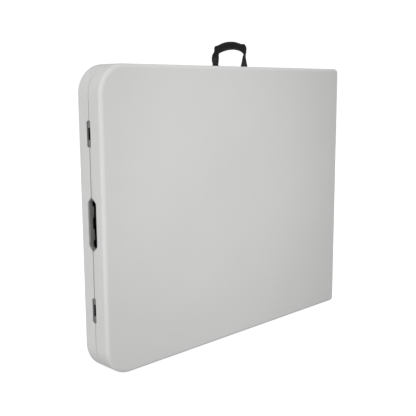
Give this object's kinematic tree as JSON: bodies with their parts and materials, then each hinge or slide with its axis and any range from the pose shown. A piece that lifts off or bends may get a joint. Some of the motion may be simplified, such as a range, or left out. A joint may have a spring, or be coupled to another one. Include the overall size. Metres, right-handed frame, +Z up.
{
  "type": "folding table",
  "caption": "Fold-in-half table with hollow moulded tops, folded shut on its long edge, with folding legs, stays, latches and a webbing handle.",
  "frame": {"origin": "on the floor under the middle of the folded table", "axes": "+X along the folded half to the hinge, +Y from the front half to the back half, +Z up"},
  "size_m": [0.92, 0.09, 0.8052],
  "materials": {
    "tabletop_plastic": "satin",
    "black_steel": "satin",
    "stay_steel": "satin",
    "zinc_steel": "satin",
    "grey_plastic": "matte",
    "black_plastic": "matte",
    "foot_rubber": "matte",
    "webbing": "matte"
  },
  "bodies": {
    "half_front": {"tabletop_front": "tabletop_plastic", "finger_liner_front": "grey_plastic", "latch_keepers": "grey_plastic", "hinge_pins": "zinc_steel", "handle_tails": "webbing", "handle_plates": "zinc_steel", "handle_screws": "zinc_steel", "side_rail_lower_front": "black_steel", "leg_bracket_lower_front": "black_steel", "stay_anchor_lower_front": "black_steel", "side_rail_upper_front": "black_steel", "leg_bracket_upper_front": "black_steel", "stay_anchor_upper_front": "black_steel", "crossbar_outer_front": "black_steel", "crossbar_hinge_front": "black_steel", "frame_screws_front": "zinc_steel", "bracket_screws_front": "zinc_steel", "leg_pivot_bolts_front": "zinc_steel", "hinge_leaves_front": "zinc_steel", "hinge_screws_front": "zinc_steel"},
    "half_back": {"tabletop_back": "tabletop_plastic", "finger_liner_back": "grey_plastic", "latch_housings": "grey_plastic", "grip_pad": "foot_rubber", "side_rail_lower_back": "black_steel", "leg_bracket_lower_back": "black_steel", "stay_anchor_lower_back": "black_steel", "side_rail_upper_back": "black_steel", "leg_bracket_upper_back": "black_steel", "stay_anchor_upper_back": "black_steel", "crossbar_outer_back": "black_steel", "crossbar_hinge_back": "black_steel", "frame_screws_back": "zinc_steel", "bracket_screws_back": "zinc_steel", "leg_pivot_bolts_back": "zinc_steel", "hinge_leaves_back": "zinc_steel", "hinge_screws_back": "zinc_steel"},
    "leg_lower_front": {"leg_tube_lower_front": "black_steel", "leg_pivot_plug_lower_front": "black_plastic", "leg_foot_lower_front": "foot_rubber"},
    "stay_upper_link_lower_front": {"stay_upper_link_lower_front": "stay_steel"},
    "stay_lower_link_lower_front": {"stay_lower_link_lower_front": "stay_steel"},
    "leg_upper_front": {"leg_tube_upper_front": "black_steel", "leg_pivot_plug_upper_front": "black_plastic", "leg_foot_upper_front": "foot_rubber"},
    "stay_upper_link_upper_front": {"stay_upper_link_upper_front": "stay_steel"},
    "stay_lower_link_upper_front": {"stay_lower_link_upper_front": "stay_steel"},
    "leg_lower_back": {"leg_tube_lower_back": "black_steel", "leg_pivot_plug_lower_back": "black_plastic", "leg_foot_lower_back": "foot_rubber"},
    "stay_upper_link_lower_back": {"stay_upper_link_lower_back": "stay_steel"},
    "stay_lower_link_lower_back": {"stay_lower_link_lower_back": "stay_steel"},
    "leg_upper_back": {"leg_tube_upper_back": "black_steel", "leg_pivot_plug_upper_back": "black_plastic", "leg_foot_upper_back": "foot_rubber"},
    "stay_upper_link_upper_back": {"stay_upper_link_upper_back": "stay_steel"},
    "stay_lower_link_upper_back": {"stay_lower_link_upper_back": "stay_steel"},
    "latch_lower": {"latch_tongue_lower": "black_plastic"},
    "latch_upper": {"latch_tongue_upper": "black_plastic"},
    "handle": {"carry_handle": "webbing"}
  },
  "joints": [
    {"name": "fold", "type": "hinge", "parent": "half_front", "child": "half_back", "pos_m": [0.4565, 0, 0], "axis": [0, 0, -1], "range_deg": [0, 180]},
    {"name": "leg_lower_front_swing", "type": "hinge", "parent": "half_front", "child": "leg_lower_front", "pos_m": [-0.402, -0.013, 0.033], "axis": [-1, 0, 0], "range_deg": [0, 90]},
    {"name": "stay_upper_link_lower_front_turn", "type": "hinge", "parent": "half_front", "child": "stay_upper_link_lower_front", "pos_m": [-0.385, -0.013, 0.333], "axis": [1, 0, 0], "range_deg": [0, 40]},
    {"name": "stay_lower_link_lower_front_turn", "type": "hinge", "parent": "leg_lower_front", "child": "stay_lower_link_lower_front", "pos_m": [-0.389, -0.013, 0.283], "axis": [-1, 0, 0], "range_deg": [0, 50.5]},
    {"name": "leg_upper_front_swing", "type": "hinge", "parent": "half_front", "child": "leg_upper_front", "pos_m": [-0.368, -0.013, 0.707], "axis": [1, 0, 0], "range_deg": [0, 90]},
    {"name": "stay_upper_link_upper_front_turn", "type": "hinge", "parent": "half_front", "child": "stay_upper_link_upper_front", "pos_m": [-0.351, -0.013, 0.407], "axis": [-1, 0, 0], "range_deg": [0, 40]},
    {"name": "stay_lower_link_upper_front_turn", "type": "hinge", "parent": "leg_upper_front", "child": "stay_lower_link_upper_front", "pos_m": [-0.355, -0.013, 0.457], "axis": [1, 0, 0], "range_deg": [0, 50.5]},
    {"name": "leg_lower_back_swing", "type": "hinge", "parent": "half_back", "child": "leg_lower_back", "pos_m": [-0.402, 0.013, 0.033], "axis": [1, 0, 0], "range_deg": [0, 90]},
    {"name": "stay_upper_link_lower_back_turn", "type": "hinge", "parent": "half_back", "child": "stay_upper_link_lower_back", "pos_m": [-0.385, 0.013, 0.333], "axis": [-1, 0, 0], "range_deg": [0, 40]},
    {"name": "stay_lower_link_lower_back_turn", "type": "hinge", "parent": "leg_lower_back", "child": "stay_lower_link_lower_back", "pos_m": [-0.389, 0.013, 0.283], "axis": [1, 0, 0], "range_deg": [0, 50.5]},
    {"name": "leg_upper_back_swing", "type": "hinge", "parent": "half_back", "child": "leg_upper_back", "pos_m": [-0.368, 0.013, 0.707], "axis": [-1, 0, 0], "range_deg": [0, 90]},
    {"name": "stay_upper_link_upper_back_turn", "type": "hinge", "parent": "half_back", "child": "stay_upper_link_upper_back", "pos_m": [-0.351, 0.013, 0.407], "axis": [1, 0, 0], "range_deg": [0, 40]},
    {"name": "stay_lower_link_upper_back_turn", "type": "hinge", "parent": "leg_upper_back", "child": "stay_lower_link_upper_back", "pos_m": [-0.355, 0.013, 0.457], "axis": [-1, 0, 0], "range_deg": [0, 50.5]},
    {"name": "latch_lower_slide", "type": "slide", "parent": "half_back", "child": "latch_lower", "axis": [0, 0, 1], "range_m": [0, 0.0078]},
    {"name": "latch_upper_slide", "type": "slide", "parent": "half_back", "child": "latch_upper", "axis": [0, 0, 1], "range_m": [0, 0.0078]},
    {"name": "handle_flop", "type": "hinge", "parent": "half_front", "child": "handle", "pos_m": [0, -0.022, 0.743], "axis": [1, 0, 0], "range_deg": [-75, 75]}
  ],
  "couplings": [
    {"joint": "leg_lower_front_swing", "follows": "fold", "ratio": 0.5},
    {"joint": "stay_upper_link_lower_front_turn", "follows": "fold", "ratio": 0.22114},
    {"joint": "stay_lower_link_lower_front_turn", "follows": "fold", "ratio": 0.27886},
    {"joint": "leg_upper_front_swing", "follows": "fold", "ratio": 0.5},
    {"joint": "stay_upper_link_upper_front_turn", "follows": "fold", "ratio": 0.22114},
    {"joint": "stay_lower_link_upper_front_turn", "follows": "fold", "ratio": 0.27886},
    {"joint": "leg_lower_back_swing", "follows": "fold", "ratio": 0.5},
    {"joint": "stay_upper_link_lower_back_turn", "follows": "fold", "ratio": 0.22114},
    {"joint": "stay_lower_link_lower_back_turn", "follows": "fold", "ratio": 0.27886},
    {"joint": "leg_upper_back_swing", "follows": "fold", "ratio": 0.5},
    {"joint": "stay_upper_link_upper_back_turn", "follows": "fold", "ratio": 0.22114},
    {"joint": "stay_lower_link_upper_back_turn", "follows": "fold", "ratio": 0.27886}
  ]
}
